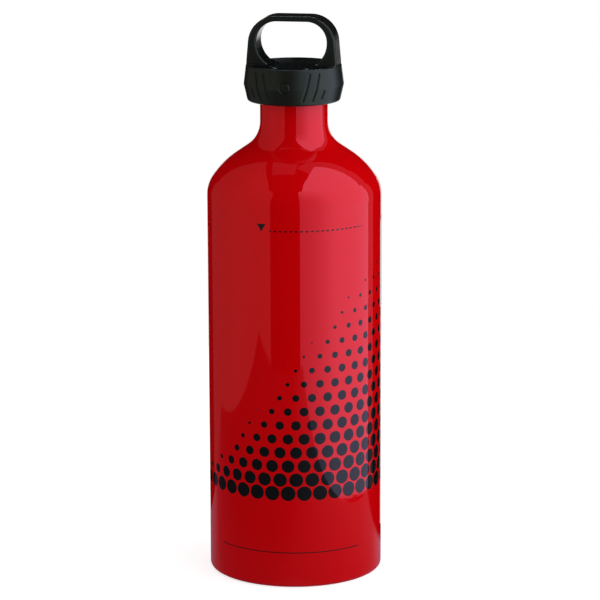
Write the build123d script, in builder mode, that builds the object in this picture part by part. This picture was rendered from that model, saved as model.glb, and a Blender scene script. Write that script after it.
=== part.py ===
from build123d import *
import os
from math import cos, radians, sin, tan

# Camping fuel bottle: an aluminium bottle with a push-and-turn screw cap and a flat carrying loop.
# The origin is on the ground below the bottle's axis, +Z is up, and the cap's loop lies in the XZ plane.
# Lengths are in millimetres and angles in degrees.

# Bottle outline, seen from the side
body_radius = 36.5
wall_top_height = 161.1
shoulder_radius = 12.8
shoulder_angle = 33.0
crown_angle = 55.7
cone_width = 5.14
neck_fillet_radius = 12.0
neck_radius = 14.15
neck_length = 13.52

# Bottle walls and base
side_wall = 0.85
base_wall = 1.3
neck_wall = 2.0
foot_width = 3.7
foot_edge_radius = 1.6
dome_height = 6.0
channel_edge_radius = 0.5
rim_edge_radius = 0.4
mouth_chamfer = 0.5

# Screw thread, a right-hand helix in the neck and one on the plug
thread_pitch = 3.0
thread_depth = 1.15
thread_root_width = 1.5
thread_tip_width = 0.8
thread_clearance = 0.3
thread_sink = 0.2
neck_thread_turns = 2.75
plug_thread_turns = 3.25
thread_below_rim = 2.55

# Sealing ring
seal_height = 1.65
seal_width = 1.9
seal_edge_radius = 0.5
seal_gap = 0.05
seal_bore_clearance = 0.1

# Plug
plug_length = 15.5
plug_floor = 2.4
plug_lead_chamfer = 1.0
flange_radius = 16.3
flange_thickness = 2.2
collar_length = 2.3
collar_clearance = 0.25
spring_well_radius = 8.2
vent_width = 3.0

# Ratchet teeth on the plug and lugs under the cap's top
tooth_count = 12
lug_count = 6
tooth_angle = 12.0
tooth_height = 1.5
tooth_inner_radius = 12.0
tooth_edge_inset = 0.5
push_clearance = 0.3

# Outer cap
skirt_height = 15.0
skirt_bottom_radius = 19.25
waist_radius = 20.84
waist_drop = 8.1
cap_rim_radius = 19.85
cap_top_wall = 2.2
dish_depth = 1.0
dish_rim_width = 1.0
dish_edge_radius = 0.45
skirt_edge_radius = 0.9
waist_edge_radius = 2.0
flange_clearance = 1.3
post_length = 3.0
post_clearance = 0.6

# Retaining ring
ring_grip = 1.2
ring_bite = 0.7
ring_thickness = 1.4
ring_clearance = 0.3
ring_groove_clearance = 0.1
ring_chamfer = 0.3

# Spring
wire_diameter = 1.0
spring_radius = 6.0
spring_turns = 6.0
spring_end_gap = 0.05

# Carrying loop, a flat band seen from the front
loop_height = 20.35
loop_depth = 12.5
loop_foot_half_width = 19.1
loop_waist_half_width = 18.35
loop_waist_height = 8.5
loop_corner_radius = 11.5
loop_bar_thickness = 2.15
opening_half_width = 14.75
opening_top_radius = 8.4
opening_bottom_radius = 10.6
opening_sink = 0.1
loop_edge_radius = 0.8
loop_step = 0.1
loop_root = 1.8
loop_blend_radius = 1.8

# Grip marks in the skirt, front and back
grip_facings = (-90, 90)
grip_angles = (24.9, 37.0)
grip_lean = 15.0
grip_length = 12.0
grip_width = 0.9
grip_depth = 0.4
grip_drop = 7.4
short_grip_angle = 46.2
short_grip_length = 4.2
short_grip_drop = 10.5
mark_radius = 2.6
mark_width = 0.8

# Label
label_drop = 9.4
label_height = 39.2
label_width = 50.8
label_thickness = 0.1
label_glue = 0.02
label_corner_radius = 2.0
label_centre_angle = 43.5

# Overrun of every cut past the faces it opens
overrun = 2.0

# Bottle outline: the crown takes up the width that the shoulder, the cone and the neck's fillet leave
foot_inner_radius = body_radius - foot_width
shoulder_width = shoulder_radius * (1 - cos(radians(shoulder_angle)))
neck_fillet_width = neck_fillet_radius * (1 - cos(radians(crown_angle)))
crown_width = body_radius - shoulder_width - cone_width - neck_fillet_width - neck_radius
crown_radius = crown_width / (cos(radians(shoulder_angle)) - cos(radians(crown_angle)))
shoulder_top_height = wall_top_height + shoulder_radius * sin(radians(shoulder_angle))
crown_rise = crown_radius * (sin(radians(crown_angle)) - sin(radians(shoulder_angle)))
crown_top_height = shoulder_top_height + crown_rise
cone_top_height = crown_top_height + cone_width / tan(radians(crown_angle))
neck_start_height = cone_top_height + neck_fillet_radius * sin(radians(crown_angle))
rim_height = neck_start_height + neck_length

# Neck, thread and plug radii
bore_radius = neck_radius - neck_wall
neck_thread_tip_radius = bore_radius - thread_depth
plug_radius = neck_thread_tip_radius - thread_clearance
plug_thread_tip_radius = plug_radius + thread_depth
collar_radius = bore_radius - collar_clearance

# Heights up the cap, each from the one below it
flange_underside = rim_height + seal_gap + seal_height
flange_top = flange_underside + flange_thickness
lug_bottom = flange_top + tooth_height + push_clearance
shell_underside = lug_bottom + tooth_height
dish_floor = shell_underside + cap_top_wall
cap_top = dish_floor + dish_depth
skirt_bottom = cap_top - skirt_height
waist_height = cap_top - waist_drop
plug_bottom = flange_underside - plug_length
well_floor = plug_bottom + plug_floor
ring_top = flange_underside - ring_clearance
ring_bottom = ring_top - ring_thickness
loop_top = cap_top + loop_height

# Radii inside the skirt
skirt_bore_radius = flange_radius + flange_clearance
ring_inner_radius = flange_radius - ring_grip
ring_outer_radius = skirt_bore_radius + ring_bite
ring_groove_radius = ring_outer_radius + ring_groove_clearance
tooth_outer_radius = flange_radius - tooth_edge_inset
post_radius = spring_radius - wire_diameter / 2 - post_clearance


def shoulder_line(wall, end_radius):
    """Wall, shoulder arcs, cone and neck fillet, one wall thickness inside the bottle's surface."""
    fillet_radius = neck_fillet_radius + wall
    cone_start = (
        body_radius
        - wall
        - (shoulder_radius - wall) * (1 - cos(radians(shoulder_angle)))
        - (crown_radius - wall) * (cos(radians(shoulder_angle)) - cos(radians(crown_angle)))
    )
    fillet_start = end_radius + fillet_radius * (1 - cos(radians(crown_angle)))
    cone_length = (cone_start - fillet_start) / sin(radians(crown_angle))
    shoulder = JernArc((body_radius - wall, wall_top_height), (0, 1), shoulder_radius - wall, shoulder_angle)
    crown = JernArc(shoulder @ 1, shoulder % 1, crown_radius - wall, crown_angle - shoulder_angle)
    cone = Line(crown @ 1, crown @ 1 + (crown % 1) * cone_length)
    neck = JernArc(cone @ 1, crown % 1, fillet_radius, -crown_angle)
    return neck @ 1


def thread_ridge(wall_radius, tip_radius, start_height, turns):
    """A trapezoid ridge on a right-hand helix, its root a little inside the wall that carries it."""
    outward = 1 if tip_radius > wall_radius else -1
    root_radius = wall_radius - outward * thread_sink
    with BuildPart() as ridge:
        with BuildLine() as path:
            Helix(thread_pitch, turns * thread_pitch, wall_radius, center=(0, 0, start_height))
        start = path.line @ 0
        with BuildSketch(Plane(origin=start, x_dir=(1, 0, 0), z_dir=path.line % 0)):
            with BuildLine():
                Polyline(
                    (root_radius - wall_radius, thread_root_width / 2),
                    (tip_radius - wall_radius, thread_tip_width / 2),
                    (tip_radius - wall_radius, -thread_tip_width / 2),
                    (root_radius - wall_radius, -thread_root_width / 2),
                    close=True,
                )
            make_face()
        sweep(path=path.line, is_frenet=True)
    return ridge.part


def skirt_outline(inset):
    """Half section of the cap's outside, one inset inside its surface."""
    Polyline(
        (0, skirt_bottom),
        (skirt_bottom_radius - inset, skirt_bottom),
        (waist_radius - inset, waist_height),
        (cap_rim_radius - inset, cap_top),
        (0, cap_top),
        close=True,
    )


# Outline of one ratchet tooth or drive lug: a block of a flat ring, centred on the X axis
with BuildSketch() as tooth:
    with BuildLine():
        tooth_outside = CenterArc((0, 0), tooth_outer_radius, -tooth_angle / 2, tooth_angle)
        tooth_inside = CenterArc((0, 0), tooth_inner_radius, -tooth_angle / 2, tooth_angle)
        Line(tooth_outside @ 0, tooth_inside @ 0)
        Line(tooth_outside @ 1, tooth_inside @ 1)
    make_face()


# The fuel space inside the bottle, up to the mouth
with BuildPart() as cavity:
    with BuildSketch(Plane.XZ):
        with BuildLine():
            dome = TangentArc((0, dome_height + base_wall), (foot_inner_radius, base_wall), tangent=(1, 0))
            channel = Line(dome @ 1, (body_radius - side_wall, base_wall))
            wall = Line(channel @ 1, (body_radius - side_wall, wall_top_height))
            neck_start = shoulder_line(side_wall, bore_radius)
            bore = Line(neck_start, (bore_radius, rim_height))
            mouth = Line(bore @ 1, (0, rim_height))
            Line(mouth @ 1, dome @ 0)
        make_face()
    revolve(axis=Axis.Z)
    fillet(cavity.edges().group_by(Axis.Z)[0], channel_edge_radius)

neck_thread_bottom = rim_height - thread_below_rim - neck_thread_turns * thread_pitch
neck_thread = thread_ridge(bore_radius, neck_thread_tip_radius, neck_thread_bottom, neck_thread_turns)

# Bottle: one seamless aluminium can with a domed base, a standing ring and a threaded neck
with BuildPart() as bottle_body:
    with BuildSketch(Plane.XZ):
        with BuildLine():
            dome = TangentArc((0, dome_height), (foot_inner_radius, 0), tangent=(1, 0))
            foot = Line(dome @ 1, (body_radius, 0))
            wall = Line(foot @ 1, (body_radius, wall_top_height))
            neck_start = shoulder_line(0, neck_radius)
            neck = Line(neck_start, (neck_radius, rim_height))
            mouth = Line(neck @ 1, (0, rim_height))
            Line(mouth @ 1, dome @ 0)
        make_face()
    revolve(axis=Axis.Z)
    fillet(bottle_body.edges().group_by(Axis.Z)[0], foot_edge_radius)
    fillet(bottle_body.edges().group_by(Axis.Z)[-1], rim_edge_radius)
    add(cavity.part, mode=Mode.SUBTRACT)
    chamfer(bottle_body.edges().group_by(Axis.Z)[-1].sort_by(SortBy.RADIUS)[0], mouth_chamfer)
    add(neck_thread)
bottle_body.part.label = "bottle_body"

# Label: a thin wrapped sticker with round corners
label_bottom_height = wall_top_height - label_drop - label_height
label_middle = label_bottom_height + label_height / 2
label_direction = Vector(1, 0, 0).rotate(Axis.Z, label_centre_angle)
with BuildPart() as back_label:
    with BuildSketch(Plane.XY.offset(label_bottom_height)):
        Circle(body_radius + label_glue + label_thickness)
        Circle(body_radius + label_glue, mode=Mode.SUBTRACT)
    extrude(amount=label_height)
    with BuildSketch(Plane(origin=(0, 0, label_middle), x_dir=(0, 0, 1), z_dir=label_direction)):
        RectangleRounded(label_height, label_width, label_corner_radius)
    extrude(amount=body_radius + overrun, mode=Mode.INTERSECT)
back_label.part.label = "back_label"

# Sealing ring: squeezed flat between the neck's rim and the plug's flange
seal_inner_radius = collar_radius + seal_bore_clearance
with BuildPart() as neck_seal:
    with BuildSketch(Plane.XZ):
        with Locations((seal_inner_radius + seal_width / 2, flange_underside - seal_height / 2)):
            RectangleRounded(seal_width, seal_height, seal_edge_radius)
    revolve(axis=Axis.Z)
neck_seal.part.label = "neck_seal"

plug_thread_bottom = neck_thread_bottom - thread_pitch / 2
plug_thread = thread_ridge(plug_radius, plug_thread_tip_radius, plug_thread_bottom, plug_thread_turns)

# Plug: a closed cup with an outside thread, a flange, ratchet teeth and a vent slot down the thread
with BuildPart() as cap_plug:
    with BuildSketch(Plane.XY.offset(plug_bottom)):
        Circle(plug_radius)
    extrude(amount=plug_length)
    chamfer(cap_plug.edges().group_by(Axis.Z)[0], plug_lead_chamfer)
    add(plug_thread)
    with BuildSketch(Plane.XY.offset(plug_bottom)):
        with Locations((plug_thread_tip_radius, 0)):
            Rectangle((plug_thread_tip_radius - plug_radius) * 2, vent_width)
    extrude(amount=plug_length - collar_length, mode=Mode.SUBTRACT)
    with BuildSketch(Plane.XY.offset(flange_underside - collar_length)):
        Circle(collar_radius)
    extrude(amount=collar_length)
    with BuildSketch(Plane.XY.offset(flange_underside)):
        Circle(flange_radius)
    extrude(amount=flange_thickness)
    with BuildSketch(Plane.XY.offset(flange_top)):
        with PolarLocations(0, tooth_count):
            add(tooth.sketch)
    extrude(amount=tooth_height)
    with BuildSketch(Plane.XY.offset(well_floor)):
        Circle(spring_well_radius)
    extrude(amount=flange_top - well_floor, mode=Mode.SUBTRACT)
cap_plug.part.label = "cap_plug"

# Spring: a coil between the floor of the plug's well and the underside of the cap
coil_bottom = well_floor + wire_diameter / 2 + spring_end_gap
coil_top = shell_underside - wire_diameter / 2 - spring_end_gap
coil_height = coil_top - coil_bottom
with BuildPart() as cap_spring:
    with BuildLine() as coil:
        Helix(coil_height / spring_turns, coil_height, spring_radius, center=(0, 0, coil_bottom))
    with BuildSketch(Plane(origin=coil.line @ 0, x_dir=(1, 0, 0), z_dir=coil.line % 0)):
        Circle(wire_diameter / 2)
    sweep(path=coil.line, is_frenet=True)
cap_spring.part.label = "cap_spring"

# Retaining ring: snapped into the skirt's groove, it catches the plug's flange from below
with BuildPart() as retaining_ring:
    with BuildSketch(Plane.XY.offset(ring_bottom)):
        Circle(ring_outer_radius)
        Circle(ring_inner_radius, mode=Mode.SUBTRACT)
    extrude(amount=ring_thickness)
    chamfer(retaining_ring.edges().group_by(Axis.Z)[0].sort_by(SortBy.RADIUS)[0], ring_chamfer)
retaining_ring.part.label = "retaining_ring"

# Carrying loop: its front outline and its side outline, each extruded, meet in the band and its flared feet
loop_slope = (loop_foot_half_width - loop_waist_half_width) / loop_waist_height
loop_foot = dish_floor - loop_root
foot_half_width = loop_foot_half_width + loop_slope * (cap_top - loop_foot)
top_half_width = loop_foot_half_width - loop_slope * loop_height
opening_bottom = dish_floor - opening_sink
opening_top = loop_top - loop_bar_thickness
blend_top = dish_floor + loop_blend_radius
blend_front = loop_depth / 2 + loop_blend_radius
with BuildPart() as carrying_loop:
    with BuildSketch(Plane.YZ):
        with BuildLine():
            flare_foot = Polyline((0, loop_foot), (blend_front, loop_foot), (blend_front, dish_floor))
            flare = RadiusArc(flare_foot @ 1, (loop_depth / 2, blend_top), -loop_blend_radius)
            Polyline(flare @ 1, (loop_depth / 2, loop_top), (0, loop_top), flare_foot @ 0)
        make_face()
        mirror(about=Plane.YZ)
    extrude(amount=foot_half_width, both=True)
    with BuildSketch(Plane.XZ):
        with BuildLine():
            FilletPolyline(
                (foot_half_width, loop_foot),
                (top_half_width, loop_top),
                (-top_half_width, loop_top),
                (-foot_half_width, loop_foot),
                radius=(0, loop_corner_radius, loop_corner_radius, 0),
                close=True,
            )
        make_face()
        with BuildLine(mode=Mode.PRIVATE) as opening:
            FilletPolyline(
                (opening_half_width, opening_bottom),
                (opening_half_width, opening_top),
                (-opening_half_width, opening_top),
                (-opening_half_width, opening_bottom),
                radius=(opening_bottom_radius, opening_top_radius, opening_top_radius, opening_bottom_radius),
                close=True,
            )
        make_face(opening.edges(), mode=Mode.SUBTRACT)
    extrude(amount=blend_front, both=True, mode=Mode.INTERSECT)
    outline_edges = carrying_loop.edges().filter_by(Axis.Y, reverse=True)
    flare_edges = outline_edges.filter_by_position(Axis.Z, dish_floor, blend_top, (False, False))
    band_edges = outline_edges.filter_by_position(Axis.Z, blend_top, loop_top, (False, True))
    fillet(flare_edges + band_edges, loop_edge_radius)
    with BuildSketch(Plane.XY.offset(loop_foot)):
        Circle(cap_rim_radius - loop_step)
    extrude(amount=loop_top - loop_foot + overrun, mode=Mode.INTERSECT)

# Cutter for the grip marks: long and short leaning slots and a round mark, only as deep as the marks
grip_height = cap_top - grip_drop
short_grip_height = cap_top - short_grip_drop
with BuildPart() as grip_cutter:
    for facing in grip_facings:
        for side in (-1, 1):
            for grip_angle in grip_angles:
                outward = Vector(1, 0, 0).rotate(Axis.Z, facing + side * grip_angle)
                with BuildSketch(Plane(origin=(0, 0, grip_height), x_dir=(0, 0, 1), z_dir=outward)):
                    with Locations(Rotation(0, 0, -side * grip_lean)):
                        SlotOverall(grip_length, grip_width)
                extrude(amount=waist_radius + overrun)
            outward = Vector(1, 0, 0).rotate(Axis.Z, facing + side * short_grip_angle)
            with BuildSketch(Plane(origin=(0, 0, short_grip_height), x_dir=(0, 0, 1), z_dir=outward)):
                with Locations(Rotation(0, 0, -side * grip_lean)):
                    SlotOverall(short_grip_length, grip_width)
            extrude(amount=waist_radius + overrun)
        outward = Vector(1, 0, 0).rotate(Axis.Z, facing)
        with BuildSketch(Plane(origin=(0, 0, grip_height), x_dir=(0, 0, 1), z_dir=outward)):
            Circle(mark_radius)
            Circle(mark_radius - mark_width, mode=Mode.SUBTRACT)
        extrude(amount=waist_radius + overrun)
    with BuildSketch(Plane.XZ):
        with BuildLine():
            skirt_outline(grip_depth)
        make_face()
    revolve(axis=Axis.Z, mode=Mode.SUBTRACT)

# Outer cap: skirt, dish, loop, drive lugs, spring post and the groove for the retaining ring
with BuildPart() as cap_shell:
    with BuildSketch(Plane.XZ):
        with BuildLine():
            skirt_outline(0)
        make_face()
    revolve(axis=Axis.Z)
    fillet(cap_shell.edges().group_by(Axis.Z)[0], skirt_edge_radius)
    fillet(cap_shell.edges().group_by(Axis.Z)[-1], dish_edge_radius)
    waist_edges = cap_shell.edges().filter_by_position(Axis.Z, waist_height, waist_height)
    fillet(waist_edges, waist_edge_radius)
    with BuildSketch(Plane.XY.offset(dish_floor)):
        Circle(cap_rim_radius - dish_rim_width)
    extrude(amount=dish_depth, mode=Mode.SUBTRACT)
    fillet(cap_shell.edges().filter_by_position(Axis.Z, dish_floor, dish_floor), dish_edge_radius)
    add(carrying_loop.part)
    with BuildSketch(Plane.XY.offset(skirt_bottom)):
        Circle(skirt_bore_radius)
    extrude(amount=shell_underside - skirt_bottom, mode=Mode.SUBTRACT)
    with BuildSketch(Plane.XY.offset(ring_bottom)):
        Circle(ring_groove_radius)
    extrude(amount=ring_thickness + ring_groove_clearance, mode=Mode.SUBTRACT)
    with BuildSketch(Plane.XY.offset(lug_bottom)):
        with PolarLocations(0, lug_count, start_angle=180 / tooth_count):
            add(tooth.sketch)
    extrude(amount=tooth_height)
    with BuildSketch(Plane.XY.offset(shell_underside - post_length)):
        Circle(post_radius)
    extrude(amount=post_length)
    add(grip_cutter.part, mode=Mode.SUBTRACT)
cap_shell.part.label = "cap_shell"

print(f"bottle to the rim {rim_height:.1f}, whole height {loop_top:.1f}")
print(f"push travel {tooth_height:.1f}, spring gap {coil_height / spring_turns - wire_diameter:.2f}")

os.makedirs("parts", exist_ok=True)
export_step(bottle_body.part, "parts/bottle_body.step")
export_step(back_label.part, "parts/back_label.step")
export_step(neck_seal.part, "parts/neck_seal.step")
export_step(cap_plug.part, "parts/cap_plug.step")
export_step(cap_spring.part, "parts/cap_spring.step")
export_step(retaining_ring.part, "parts/retaining_ring.step")
export_step(cap_shell.part, "parts/cap_shell.step")
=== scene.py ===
import math

import bmesh
import bpy
from mathutils import Matrix, Quaternion, Vector


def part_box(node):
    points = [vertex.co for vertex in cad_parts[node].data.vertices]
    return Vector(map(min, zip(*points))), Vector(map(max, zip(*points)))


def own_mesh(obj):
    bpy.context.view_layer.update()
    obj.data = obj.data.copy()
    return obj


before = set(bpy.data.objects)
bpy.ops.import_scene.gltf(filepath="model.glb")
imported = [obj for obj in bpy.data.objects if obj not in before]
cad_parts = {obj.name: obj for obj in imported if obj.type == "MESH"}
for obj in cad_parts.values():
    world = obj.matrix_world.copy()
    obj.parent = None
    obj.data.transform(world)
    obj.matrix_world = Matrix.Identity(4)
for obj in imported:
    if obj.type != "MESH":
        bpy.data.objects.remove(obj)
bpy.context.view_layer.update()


# Camera
# A long lens 1.26 metres away and a little above the cap, turned 10 degrees past the flat side of the loop.
# It is tipped down on to the bottle's middle, and rolled by a fifth of a degree.
lens_mm, sensor_mm = 179.67, 36
camera_place = (0.2162, -1.2133, 0.3911)
turned, tipped, rolled = math.radians(10), math.radians(12.618), math.radians(-0.21)

camera = bpy.data.objects.new("camera", bpy.data.cameras.new("camera"))
bpy.context.scene.collection.objects.link(camera)
bpy.context.scene.camera = camera
camera.data.lens = lens_mm
camera.data.sensor_width = sensor_mm
camera.location = camera_place
looking = Vector((
    -math.sin(turned) * math.cos(tipped),
    math.cos(turned) * math.cos(tipped),
    -math.sin(tipped),
))
camera.rotation_mode = "QUATERNION"
camera.rotation_quaternion = looking.to_track_quat("-Z", "Y") @ Quaternion((0, 0, 1), rolled)


# Floor
# A wide pale table top under the standing ring. It carries the bottle's soft contact shadow, and it can't
# be seen from below, where it would hide the underside.
table_radius, table_gap = 0.40, 0.0001
table_shade = 0.65
table_own_light = 0.70


def start_finish(name):
    """A new material with an empty node tree but for its output."""
    finish = bpy.data.materials.new(name)
    finish.use_nodes = True
    finish.node_tree.nodes.clear()
    finish.node_tree.nodes.new("ShaderNodeOutputMaterial")
    return finish


def add_node(finish, kind, *inputs, **settings):
    """Adds a node and fills its inputs in order, each a plain value or another node's output."""
    made = finish.node_tree.nodes.new("ShaderNode" + kind)
    for setting, value in settings.items():
        setattr(made, setting, value)
    for socket, value in zip(made.inputs, inputs):
        if isinstance(value, bpy.types.NodeSocket):
            finish.node_tree.links.new(value, socket)
        elif value is not None:
            socket.default_value = value
    return made.outputs[0]


def source(finish, kind, output):
    """A named output of a node that has no inputs to fill."""
    return finish.node_tree.nodes.new("ShaderNode" + kind).outputs[output]


def maths(finish, operation, *terms):
    """One arithmetic node."""
    return add_node(finish, "Math", *terms, operation=operation)


def to_output(finish, shader):
    """Links a shader to the tree's output."""
    output = next(n for n in finish.node_tree.nodes if n.bl_idname.startswith("ShaderNodeOutput"))
    finish.node_tree.links.new(shader, output.inputs[0])


def seen_directly(finish):
    """1 for rays from the camera, from gloss or through glass, which all show the pale surroundings."""
    path = finish.node_tree.nodes.new("ShaderNodeLightPath")
    rays = maths(finish, "MAXIMUM", path.outputs["Is Camera Ray"], path.outputs["Is Glossy Ray"])
    return maths(finish, "MAXIMUM", rays, path.outputs["Is Transmission Ray"])


def mesh_piece(name, shape):
    """Turns a finished bmesh into an object in the scene."""
    mesh = bpy.data.meshes.new(name)
    shape.to_mesh(mesh)
    shape.free()
    piece = bpy.data.objects.new(name, mesh)
    bpy.context.scene.collection.objects.link(piece)
    return piece


table_paint = start_finish("table_paint")
table_glow = add_node(
    table_paint, "Emission", (1, 1, 1, 1),
    maths(table_paint, "MULTIPLY", seen_directly(table_paint), table_own_light),
)
table_matt = add_node(table_paint, "BsdfDiffuse", (table_shade, table_shade, table_shade, 1))
to_output(table_paint, add_node(
    table_paint, "MixShader", source(table_paint, "NewGeometry", "Backfacing"),
    add_node(table_paint, "AddShader", table_glow, table_matt),
    add_node(table_paint, "BsdfTransparent"),
))
shape = bmesh.new()
bmesh.ops.create_circle(shape, cap_ends=True, segments=96, radius=table_radius)
shape.normal_update()
if next(iter(shape.faces)).normal.z < 0:
    bmesh.ops.reverse_faces(shape, faces=shape.faces)
bmesh.ops.translate(shape, verts=shape.verts, vec=(0, 0, -table_gap))
table = mesh_piece("table_top", shape)
table.data.materials.append(table_paint)
table.visible_glossy = False


# Studio
# Two diffusion screens that curve in overhead, a bright one on the right with a dim edge and a dim one on
# the left, with a dark slit between them where the camera stands. A faint panel hangs over the slit and a
# light stands high behind. The mats, the two panels and the dark walls are seen in gloss alone, and the
# fill screen lights the left side without being seen in gloss.
towards_camera, towards_right, towards_back = -80, 10, 100
screen_out, screen_foot, screen_head = 0.70, -0.16, 0.30
wedge_slope = 0.92
cut_level = 0.17
near_start, far_start = 0.60, 0.2
dim_cloth = (0.22, 0.24, 0.32)
drum_radius, drum_low, drum_high = 2.2, -2, 2
window_start, window_end, window_high = 81, 112, 0.15
wall_step = 8
wall_black = 0.004
sky_fill = 0.66


def along_floor(finish, place, bearing, scale=1.0):
    """How far a point lies along a bearing, in degrees round from the right of the bottle."""
    measure = finish.node_tree.nodes.new("ShaderNodeVectorMath")
    measure.operation = "DOT_PRODUCT"
    measure.inputs[1].default_value = (
        math.cos(math.radians(bearing)) * scale, math.sin(math.radians(bearing)) * scale, 0,
    )
    finish.node_tree.links.new(place, measure.inputs[0])
    return measure.outputs["Value"]


def object_place(finish):
    """The surface point in the bottle's own frame."""
    return source(finish, "TexCoord", "Object")


def ramp(finish, value, start, end, low, high):
    """Runs from low, where the value is at start, to high, where it is at end, and holds on beyond."""
    return add_node(finish, "MapRange", value, start, end, low, high)


def spread(finish, share, low, high):
    """A value between low and high, by a share from 0 to 1."""
    return ramp(finish, share, 0.0, 1.0, low, high)


def mix_colours(finish, share, first, second):
    """A colour between two others."""
    mixer = finish.node_tree.nodes.new("ShaderNodeMix")
    mixer.data_type = "RGBA"
    for socket, value in ((mixer.inputs[0], share), (mixer.inputs[6], first), (mixer.inputs[7], second)):
        if isinstance(value, bpy.types.NodeSocket):
            finish.node_tree.links.new(value, socket)
        else:
            socket.default_value = value
    return mixer.outputs[2]


def turned_by(degrees):
    """A turn round the bottle's axis."""
    return Matrix.Rotation(math.radians(degrees), 3, "Z")


def hang_screen(
    name, start, sweep, lean_in, glow,
    near_share=1.0, far_end=-1.0, far_share=1.0, cuts=(), out=screen_out,
):
    """A screen that stands on an arc round the bottle and curves in overhead, as far as its cuts.

    It has near_share of its light at the end by the camera, and far_share of it at the far end. Its blue
    is seen in gloss alone, so that white paper stays white beside it.
    """
    shape = bmesh.new()
    foot = shape.verts.new((out, 0, screen_foot))
    head = shape.verts.new((out, 0, screen_head))
    shape.edges.new((foot, head))
    bmesh.ops.spin(
        shape, geom=[head], cent=(0, 0, screen_head), axis=(0, -1, 0), angle=math.radians(lean_in),
        steps=12, use_merge=False,
    )
    bmesh.ops.rotate(shape, verts=shape.verts, cent=(0, 0, 0), matrix=turned_by(start))
    bmesh.ops.spin(
        shape, geom=shape.verts[:] + shape.edges[:], cent=(0, 0, 0), axis=(0, 0, 1),
        angle=math.radians(sweep), steps=24, use_merge=False,
    )
    for cut in cuts:
        bmesh.ops.bisect_plane(
            shape, geom=shape.verts[:] + shape.edges[:] + shape.faces[:], plane_co=(0, 0, cut_level),
            plane_no=cut, clear_outer=True,
        )
    screen = mesh_piece(name, shape)
    cloth = start_finish(name)
    ahead = along_floor(cloth, object_place(cloth), towards_camera, 1 / screen_out)
    near = ramp(cloth, ahead, 1.0, near_start, near_share, 1.0)
    far = ramp(cloth, ahead, far_end, far_start, far_share, 1.0)
    evenness = maths(cloth, "MULTIPLY", near, far)
    red, green, blue = glow
    in_gloss = source(cloth, "LightPath", "Is Glossy Ray")
    tint = mix_colours(cloth, in_gloss, (red, green, green, 1), (red, green, blue, 1))
    to_output(cloth, add_node(cloth, "Emission", tint, evenness))
    screen.data.materials.append(cloth)
    screen.visible_camera = False
    return screen


hang_screen(
    "screen_right", start=-73, sweep=105, lean_in=73, glow=(1.40, 1.42, 2.15),
    near_share=0.38, far_end=-0.40, far_share=0.88, cuts=[(-1, 0, 0.28)],
)
hang_screen(
    "screen_left", start=142, sweep=107, lean_in=76, glow=(0.32, 0.29, 0.30),
    far_end=-0.85, far_share=0.22, cuts=[(1, 0, 0.46), (0.77, 1, 0.135)],
)
screen_edge = hang_screen("screen_edge", start=32.5, sweep=12, lean_in=30, glow=dim_cloth)
screen_edge.visible_diffuse = False
screen_top = hang_screen(
    "screen_top", start=-20, sweep=68, lean_in=88, glow=dim_cloth,
    cuts=[(-1, 0, 0.06), (-0.72, 1, -0.2)], out=0.72,
)
screen_top.visible_diffuse = False
fill_screen = hang_screen("fill_screen", start=152, sweep=62, lean_in=4, glow=(1.1, 1.06, 1.06), out=0.67)
fill_screen.visible_glossy = False


def gloss_only(panel, tint, glow):
    """Lights a panel for gloss alone."""
    paint = start_finish(panel.name)
    to_output(paint, add_node(paint, "Emission", tint + (1,), glow(paint, object_place(paint))))
    panel.data.materials.append(paint)
    panel.visible_camera = False
    panel.visible_diffuse = False
    panel.visible_shadow = False


def lay_panel(name, low, high, level, tint, glow):
    """A flat rectangle of light between two corners, which only gloss sees."""
    shape = bmesh.new()
    bmesh.ops.create_grid(shape, x_segments=1, y_segments=1, size=0.5)
    bmesh.ops.scale(shape, verts=shape.verts, vec=(high[0] - low[0], high[1] - low[1], 1))
    middle = ((low[0] + high[0]) / 2, (low[1] + high[1]) / 2, level)
    bmesh.ops.translate(shape, verts=shape.verts, vec=middle)
    gloss_only(mesh_piece(name, shape), tint, glow)


def mat_glow(paint, place):
    """Dim at the front left, brighter on the right, brightest close behind, and dark behind the right."""
    behind = along_floor(paint, place, towards_back)
    aside = along_floor(paint, place, towards_right)
    wedge = maths(paint, "MULTIPLY_ADD", maths(paint, "ABSOLUTE", aside), -wedge_slope, behind)
    side = ramp(paint, aside, -0.02, 0.12, 0.035, 0.25)
    broad = ramp(paint, wedge, -0.16, -0.05, 0.0, 0.05)
    back = ramp(paint, wedge, -0.055, -0.038, 0.0, 0.11)
    level = maths(paint, "ADD", maths(paint, "ADD", side, broad), back)
    on_right = ramp(paint, aside, 0.0, 0.04, 0.0, 1.0)
    lost = ramp(paint, behind, 0.026, 0.036, 0.0, -1.0)
    return maths(paint, "MULTIPLY", level, maths(paint, "MULTIPLY_ADD", on_right, lost, 1.0))


def pit_glow(paint, place):
    """Dim on the left and bright on the right."""
    return ramp(paint, along_floor(paint, place, towards_right), 0.15, 0.60, 0.36, 1.3)


def even_glow(paint, place):
    """The same all over, but for a slow fall to the left."""
    return ramp(paint, along_floor(paint, place, towards_right), -0.30, 0.30, 0.9, 1.0)


lay_panel(
    "gloss_mat", low=(-0.30, -0.40), high=(0.145, 0.062), level=0.0, tint=(0.97, 1.0, 1.35), glow=mat_glow,
)
lay_panel(
    "low_mat", low=(-1.2, -1.2), high=(1.2, 1.0), level=-0.5, tint=(0.90, 1.0, 1.2), glow=pit_glow,
)
lay_panel(
    "overhead_panel", low=(-0.29, -0.165), high=(0.03, 0.165), level=1.0, tint=(0.19, 0.21, 0.26),
    glow=even_glow,
)


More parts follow.
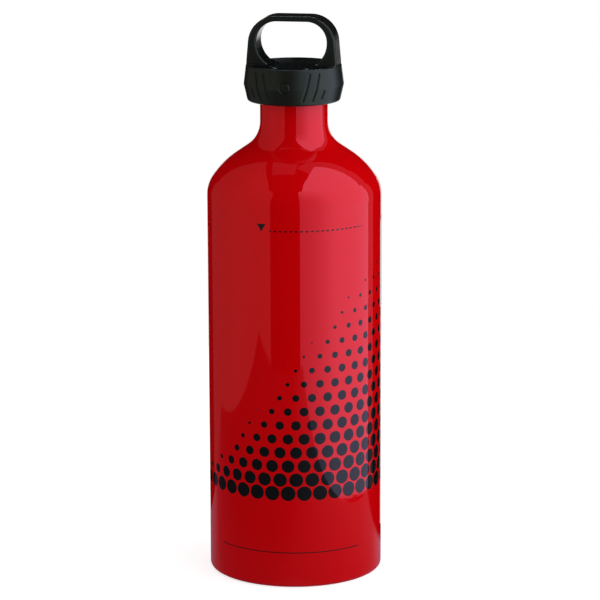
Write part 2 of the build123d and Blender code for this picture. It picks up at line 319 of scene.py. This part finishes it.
def raise_strip(shape, out, low, high, start, sweep, steps):
    """An upright strip on an arc round the bottle, with a wedge of lid or floor at the drum's ends."""
    rim = [shape.verts.new((out, 0, low)), shape.verts.new((out, 0, high))]
    joins = [shape.edges.new(rim)]
    for corner in rim[:]:
        if corner.co.z in (drum_low, drum_high):
            rim.append(shape.verts.new((0, 0, corner.co.z)))
            joins.append(shape.edges.new((corner, rim[-1])))
    bmesh.ops.rotate(shape, verts=rim, cent=(0, 0, 0), matrix=turned_by(start))
    bmesh.ops.spin(
        shape, geom=rim + joins, cent=(0, 0, 0), axis=(0, 0, 1), angle=math.radians(sweep),
        steps=steps, use_merge=False,
    )


shape = bmesh.new()
raise_strip(shape, out=2.1, low=1.15, high=1.90, start=88, sweep=22, steps=4)
gloss_only(mesh_piece("back_light", shape), tint=(2.2, 2.6, 2.8), glow=even_glow)

shape = bmesh.new()
for start, sweep, low in (
    (window_end, 360 + window_start - window_end, drum_low),
    (window_start, window_end - window_start, window_high),
):
    raise_strip(shape, drum_radius, low, drum_high, start, sweep, round(sweep / wall_step))
walls = mesh_piece("dark_walls", shape)
wall_paint = start_finish("wall_paint")
to_output(wall_paint, add_node(wall_paint, "BsdfDiffuse", (wall_black, wall_black, wall_black, 1)))
walls.data.materials.append(wall_paint)
walls.visible_camera = False
walls.visible_diffuse = False
walls.visible_shadow = False

surroundings = bpy.data.worlds.new("surroundings")
bpy.context.scene.world = surroundings
surroundings.use_nodes = True
surroundings.node_tree.nodes.clear()
surroundings.node_tree.nodes.new("ShaderNodeOutputWorld")
pale = spread(surroundings, seen_directly(surroundings), sky_fill, 1.0)
to_output(surroundings, add_node(surroundings, "Background", (1, 1, 1, 1), pale))
bpy.context.scene.view_settings.view_transform = "Standard"


# Bottle body
# Impact-extruded aluminium, sprayed with a glossy red enamel that is baked on, then screen printed in
# black. The rim, the thread and the inside stay bare metal, and the standing ring is rubbed by use.
barrel_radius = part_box("bottle_body")[1].x
red_dark, red_light = (0.725, 0.0006, 0.0025, 1), (0.755, 0.0006, 0.0035, 1)
ink_black = (0.006, 0.006, 0.0065, 1)
bare_metal = (0.80, 0.80, 0.81, 1)
metal_under_enamel = 0.15
bare_roughness = 0.30
print_edge = 0.00006

dots_round = 34
dot_pitch = 2 * math.pi * barrel_radius / dots_round
row_pitch = dot_pitch * math.sqrt(3)
dots_foot, dots_low, dots_swing, dots_turn = 0.040, 0.092, 0.048, 0.05
dot_fill, dot_fading = 0.47, 0.6

fill_height, fill_thick = 0.1515, 0.0006
fill_left, fill_right = -0.004, 0.038
dash_pitch, dash_length = 0.0022, 0.0012
mark_place, mark_tall, mark_widening = -0.0075, 0.0032, 0.6
foot_line_height, foot_line_thick = 0.0150, 0.0004
foot_line_left, foot_line_right = -0.030, 0.036

bore_limit, neck_foot, rim_level = 0.0134, 0.15, 0.2047
body_middle = (0, 0, 0.1)
ground_level, ring_radius = 0.00012, 0.0342
rub_spread, rub_least = 0.0048, -0.0017


def sheen_finish(name, **sockets):
    """A material with one main shader, and the constant values of its sockets."""
    finish = start_finish(name)
    shader = finish.node_tree.nodes.new("ShaderNodeBsdfPrincipled")
    for socket, value in sockets.items():
        shader.inputs[socket.replace("_", " ")].default_value = value
    to_output(finish, shader.outputs[0])
    return finish, shader


def join(finish, output, shader, socket):
    """Links an output to a named socket of a shader."""
    finish.node_tree.links.new(output, shader.inputs[socket])


def split(finish, vector):
    """The three parts of a vector."""
    parts = finish.node_tree.nodes.new("ShaderNodeSeparateXYZ")
    finish.node_tree.links.new(vector, parts.inputs[0])
    return parts.outputs[0], parts.outputs[1], parts.outputs[2]


def place_on(finish):
    """The surface point's place, and its x, y and z, in the bottle's own frame, in metres."""
    place = object_place(finish)
    return place, *split(finish, place)


def distance(finish, across, along):
    """The length of the hypotenuse."""
    squares = maths(
        finish, "ADD", maths(finish, "MULTIPLY", across, across), maths(finish, "MULTIPLY", along, along),
    )
    return maths(finish, "POWER", squares, 0.5)


def below(finish, value, limit, soft=print_edge):
    """1 where the value is under the limit and 0 above it, with a fine soft edge."""
    return ramp(finish, maths(finish, "SUBTRACT", value, limit), -soft / 2, soft / 2, 1.0, 0.0)


def between(finish, value, low, high):
    """1 where the value lies between two limits."""
    middle = maths(finish, "ABSOLUTE", maths(finish, "SUBTRACT", value, (low + high) / 2))
    return below(finish, middle, (high - low) / 2)


def all_of(finish, first, *others):
    """The product of several masks."""
    for other in others:
        first = maths(finish, "MULTIPLY", first, other)
    return first


def any_of(finish, first, *others):
    """The largest of several masks."""
    for other in others:
        first = maths(finish, "MAXIMUM", first, other)
    return first


def not_in(finish, mask):
    """1 outside a mask."""
    return maths(finish, "SUBTRACT", 1.0, mask)


def grain(finish, place, scale, detail=2.0):
    """Fine random relief, as a value from 0 to 1."""
    noise = finish.node_tree.nodes.new("ShaderNodeTexNoise")
    finish.node_tree.links.new(place, noise.inputs["Vector"])
    noise.inputs["Scale"].default_value = scale
    noise.inputs["Detail"].default_value = detail
    return noise.outputs[0]


def relief(finish, height, depth, below_it=None):
    """A bump of a real depth in metres, laid over another."""
    bump = finish.node_tree.nodes.new("ShaderNodeBump")
    bump.inputs["Strength"].default_value = 1.0
    bump.inputs["Distance"].default_value = depth
    finish.node_tree.links.new(height, bump.inputs["Height"])
    if below_it is not None:
        finish.node_tree.links.new(below_it, bump.inputs["Normal"])
    return bump.outputs[0]


def nearest_middle(finish, value, pitch, shift):
    """The middle of the cell that a value lies in, on a grid shifted by a share of its pitch."""
    cell = maths(finish, "SNAP", maths(finish, "ADD", value, shift * pitch), pitch)
    return maths(finish, "ADD", cell, (0.5 - shift) * pitch)


def paint_node(name, finish):
    """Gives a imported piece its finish, and returns the piece."""
    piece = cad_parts[name]
    piece.data.materials.clear()
    piece.data.materials.append(finish)
    return piece


enamel, enamel_shader = sheen_finish(
    "red_enamel", Coat_Weight=0.65, Coat_Roughness=0.03, Coat_IOR=1.5, Specular_IOR_Level=0.0,
)
place, x, y, z = place_on(enamel)
from_axis = distance(enamel, x, y)
turn = maths(enamel, "ARCTAN2", x, maths(enamel, "MULTIPLY", y, -1.0))
around = maths(enamel, "MULTIPLY", turn, barrel_radius)


def halftone_dots(shift):
    """Every second row of the dots, which shrink up to a crest that swings round the barrel."""
    column = nearest_middle(enamel, around, dot_pitch, shift)
    row = nearest_middle(enamel, z, row_pitch, shift)
    off_centre = distance(
        enamel, maths(enamel, "SUBTRACT", around, column), maths(enamel, "SUBTRACT", z, row),
    )
    column_turn = maths(enamel, "SUBTRACT", maths(enamel, "DIVIDE", column, barrel_radius), dots_turn)
    crest = maths(enamel, "MULTIPLY_ADD", maths(enamel, "SINE", column_turn), dots_swing, dots_low)
    under_crest = maths(enamel, "SUBTRACT", crest, row)
    fade = maths(enamel, "DIVIDE", under_crest, maths(enamel, "SUBTRACT", crest, dots_foot))
    fade = maths(enamel, "POWER", maths(enamel, "MAXIMUM", fade, 0.0), dot_fading)
    dot_radius = maths(enamel, "MULTIPLY", fade, dot_fill * dot_pitch)
    return all_of(
        enamel, below(enamel, maths(enamel, "SUBTRACT", off_centre, dot_radius), 0.0),
        maths(enamel, "GREATER_THAN", row, dots_foot), maths(enamel, "GREATER_THAN", crest, row),
    )


fill_line = all_of(
    enamel, below(enamel, maths(enamel, "FLOORED_MODULO", around, dash_pitch), dash_length),
    between(enamel, z, fill_height, fill_height + fill_thick), between(enamel, around, fill_left, fill_right),
)
off_mark = maths(enamel, "ABSOLUTE", maths(enamel, "SUBTRACT", around, mark_place))
mark_half = maths(enamel, "MULTIPLY", maths(enamel, "SUBTRACT", z, fill_height), mark_widening)
fill_mark = all_of(
    enamel, between(enamel, z, fill_height, fill_height + mark_tall),
    below(enamel, maths(enamel, "SUBTRACT", off_mark, mark_half), 0.0),
)
foot_line = all_of(
    enamel, between(enamel, z, foot_line_height, foot_line_height + foot_line_thick),
    between(enamel, around, foot_line_left, foot_line_right),
)
ink = any_of(enamel, halftone_dots(0.0), halftone_dots(0.5), fill_line, fill_mark, foot_line)

outwards = enamel.node_tree.nodes.new("ShaderNodeVectorMath")
outwards.operation = "DOT_PRODUCT"
enamel.node_tree.links.new(source(enamel, "NewGeometry", "Normal"), outwards.inputs[0])
enamel.node_tree.links.new(
    add_node(enamel, "VectorMath", place, body_middle, operation="SUBTRACT"), outwards.inputs[1],
)
inside = maths(enamel, "LESS_THAN", outwards.outputs["Value"], 0.0)
in_neck = all_of(
    enamel, maths(enamel, "LESS_THAN", from_axis, bore_limit), maths(enamel, "GREATER_THAN", z, neck_foot),
)
on_rim = maths(enamel, "GREATER_THAN", z, rim_level)
off_ring = maths(enamel, "ABSOLUTE", maths(enamel, "SUBTRACT", from_axis, ring_radius))
rub_width = maths(
    enamel, "MULTIPLY_ADD", grain(enamel, place, scale=260.0, detail=5.0), rub_spread, rub_least,
)
rubbed = all_of(
    enamel, maths(enamel, "LESS_THAN", z, ground_level), maths(enamel, "LESS_THAN", off_ring, rub_width),
)
bare = any_of(enamel, inside, in_neck, on_rim, rubbed)

cloudy = grain(enamel, place, scale=25.0)
red = mix_colours(enamel, cloudy, red_dark, red_light)
printed = mix_colours(enamel, ink, red, ink_black)
join(enamel, mix_colours(enamel, bare, printed, bare_metal), enamel_shader, "Base Color")
lacquer_shine = maths(enamel, "MULTIPLY", not_in(enamel, ink), metal_under_enamel)
join(enamel, any_of(enamel, bare, lacquer_shine), enamel_shader, "Metallic")
smooth_lacquer = spread(enamel, cloudy, 0.06, 0.10)
duller = maths(enamel, "MULTIPLY", any_of(enamel, ink, bare), bare_roughness)
join(enamel, any_of(enamel, smooth_lacquer, duller), enamel_shader, "Roughness")
orange_peel = relief(enamel, grain(enamel, place, scale=420.0, detail=1.0), depth=0.0000030)
ink_film = relief(enamel, ink, depth=0.000008, below_it=orange_peel)
join(enamel, ink_film, enamel_shader, "Normal")
join(enamel, ink_film, enamel_shader, "Coat Normal")
paint_node("bottle_body", enamel)


# Back label
# A white satin paper label with rounded corners, die cut and stuck on the back right of the barrel. It is
# printed with a fine frame and empty ruled lines.
label_bearing = math.radians(43.5)
label_foot, label_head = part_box("back_label")[0].z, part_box("back_label")[1].z
half_tall = (label_head - label_foot) / 2
frame_half_wide, frame_inset, frame_thick = 0.0259, 0.0016, 0.0004
rule_pitch, rule_thick, rule_start = 0.0048, 0.0003, 0.0035
rule_half_wide, rule_inset = 0.0225, 0.0042

paper, paper_shader = sheen_finish("white_label", IOR=1.45)
place, x, y, z = place_on(paper)
label_turn = maths(paper, "SUBTRACT", maths(paper, "ARCTAN2", y, x), label_bearing)
along = maths(paper, "ABSOLUTE", maths(paper, "MULTIPLY", label_turn, barrel_radius))
level = maths(paper, "ABSOLUTE", maths(paper, "SUBTRACT", z, (label_foot + label_head) / 2))
within = all_of(
    paper, below(paper, along, frame_half_wide), below(paper, level, half_tall - frame_inset),
)
within_less = all_of(
    paper, below(paper, along, frame_half_wide - frame_thick),
    below(paper, level, half_tall - frame_inset - frame_thick),
)
frame_line = maths(paper, "SUBTRACT", within, within_less)
up_from_rule = maths(
    paper, "FLOORED_MODULO", maths(paper, "SUBTRACT", z, label_foot + rule_start), rule_pitch,
)
rules = all_of(
    paper, below(paper, up_from_rule, rule_thick), below(paper, along, rule_half_wide),
    below(paper, level, half_tall - rule_inset),
)
fibre = grain(paper, place, scale=3000.0, detail=3.0)
paper_white = mix_colours(paper, fibre, (0.80, 0.80, 0.79, 1), (0.86, 0.86, 0.85, 1))
ruled = mix_colours(paper, any_of(paper, frame_line, rules), paper_white, (0.02, 0.02, 0.02, 1))
join(paper, ruled, paper_shader, "Base Color")
join(paper, spread(paper, fibre, 0.42, 0.55), paper_shader, "Roughness")
join(paper, relief(paper, fibre, depth=0.000004), paper_shader, "Normal")
paint_node("back_label", paper)


# Neck seal
# A ring of black fuel-proof rubber, pressed in one piece, matt with a faint bloom. It lies loose between
# the plug's flange and the rim of the neck, and is squeezed as the cap is tightened.
rubber, rubber_shader = sheen_finish("seal_rubber", IOR=1.5)
bloom = grain(rubber, object_place(rubber), scale=900.0, detail=4.0)
rubber_black = mix_colours(rubber, bloom, (0.018, 0.018, 0.018, 1), (0.035, 0.035, 0.034, 1))
join(rubber, rubber_black, rubber_shader, "Base Color")
join(rubber, spread(rubber, bloom, 0.70, 0.85), rubber_shader, "Roughness")
join(rubber, relief(rubber, bloom, depth=0.000010), rubber_shader, "Normal")
paint_node("neck_seal", rubber)


# Cap plug
# The threaded inner half of the cap, injection moulded in dark grey plastic and slightly shiny from the
# polished mould. It screws into the neck, and the teeth on its flange meet the lugs of the outer cap.
plug_plastic, plug_shader = sheen_finish("plug_plastic", IOR=1.5)
place = object_place(plug_plastic)
flow = grain(plug_plastic, place, scale=120.0, detail=3.0)
dark_grey = mix_colours(plug_plastic, flow, (0.045, 0.045, 0.048, 1), (0.060, 0.060, 0.064, 1))
mould_grain = grain(plug_plastic, place, scale=2500.0)
join(plug_plastic, dark_grey, plug_shader, "Base Color")
join(plug_plastic, spread(plug_plastic, flow, 0.30, 0.42), plug_shader, "Roughness")
join(plug_plastic, relief(plug_plastic, mould_grain, depth=0.000005), plug_shader, "Normal")
paint_node("cap_plug", plug_plastic)


# Retaining ring
# A thin ring of the same dark grey plastic as the plug, from the same polished mould. It is snapped into
# the groove of the skirt below the plug's flange, and keeps the outer cap on.
paint_node("retaining_ring", plug_plastic)


steel, steel_shader = sheen_finish("spring_steel", Metallic=1.0)
drawn = grain(steel, object_place(steel), scale=2200.0, detail=3.0)
steel_grey = mix_colours(steel, drawn, (0.50, 0.50, 0.50, 1), (0.62, 0.61, 0.60, 1))
join(steel, steel_grey, steel_shader, "Base Color")
join(steel, spread(steel, drawn, 0.24, 0.36), steel_shader, "Roughness")
join(steel, relief(steel, drawn, depth=0.000002), steel_shader, "Normal")
spring = paint_node("cap_spring", steel)
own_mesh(spring)


# Cap shell with its carrying loop
# Injection moulded in black plastic. The skirt and the flat faces of the loop have an eroded satin
# texture, and the loop's rounded sides and the dish are smoother. Its edges are slightly rounded. The
# loop's flat faces are painted lighter, as painted light, and the dish darker and bluer, as painted shade.
skirt_head, skirt_fade = 0.21575, 0.0006
dish_radius, dish_head = 0.0175, 0.2160
flat_facing, facing_fade = 0.95, 0.04
skirt_dark, skirt_light = (0.0090, 0.0095, 0.0082, 1), (0.0114, 0.0121, 0.0106, 1)
# Painted light and painted shade: a lighter black for the loop's flat faces and a darker, bluer one for the
# dish.
loop_painted_light, dish_painted_shade = (0.0138, 0.0145, 0.0132, 1), (0.0056, 0.0060, 0.0076, 1)
edge_radius = 0.0009

cap_plastic, cap_shader = sheen_finish(
    "cap_plastic", IOR=1.5, Specular_IOR_Level=0.42, Specular_Tint=(0.78, 1.0, 0.70, 1),
)
place, x, y, z = place_on(cap_plastic)
above_skirt = not_in(cap_plastic, below(cap_plastic, z, skirt_head, skirt_fade))
facing_y = split(cap_plastic, source(cap_plastic, "NewGeometry", "Normal"))[1]
off_face = below(cap_plastic, maths(cap_plastic, "ABSOLUTE", facing_y), flat_facing, facing_fade)
loop_face = all_of(cap_plastic, above_skirt, not_in(cap_plastic, off_face))
dish = all_of(
    cap_plastic, below(cap_plastic, distance(cap_plastic, x, y), dish_radius),
    below(cap_plastic, z, dish_head),
)
smoother = any_of(cap_plastic, all_of(cap_plastic, above_skirt, off_face), dish)
rougher = not_in(cap_plastic, smoother)

clouds = grain(cap_plastic, place, scale=60.0)
black = mix_colours(cap_plastic, clouds, skirt_dark, skirt_light)
# Painted light: the loop's flat faces get a lighter black than the skirt.
black = mix_colours(cap_plastic, loop_face, black, loop_painted_light)
# Painted shade: the recessed dish gets a darker, bluer black.
black = mix_colours(cap_plastic, dish, black, dish_painted_shade)
join(cap_plastic, black, cap_shader, "Base Color")

eroded = grain(cap_plastic, place, scale=2600.0, detail=3.0)
satin = all_of(cap_plastic, spread(cap_plastic, eroded, 0.28, 0.36), rougher)
polished = all_of(cap_plastic, spread(cap_plastic, clouds, 0.12, 0.16), smoother)
join(cap_plastic, maths(cap_plastic, "ADD", satin, polished), cap_shader, "Roughness")

rounded = cap_plastic.node_tree.nodes.new("ShaderNodeBevel")
rounded.samples = 6
rounded.inputs["Radius"].default_value = edge_radius
texture = all_of(cap_plastic, eroded, rougher)
skin = relief(cap_plastic, texture, depth=0.000012, below_it=rounded.outputs[0])
join(cap_plastic, skin, cap_shader, "Normal")
paint_node("cap_shell", cap_plastic)
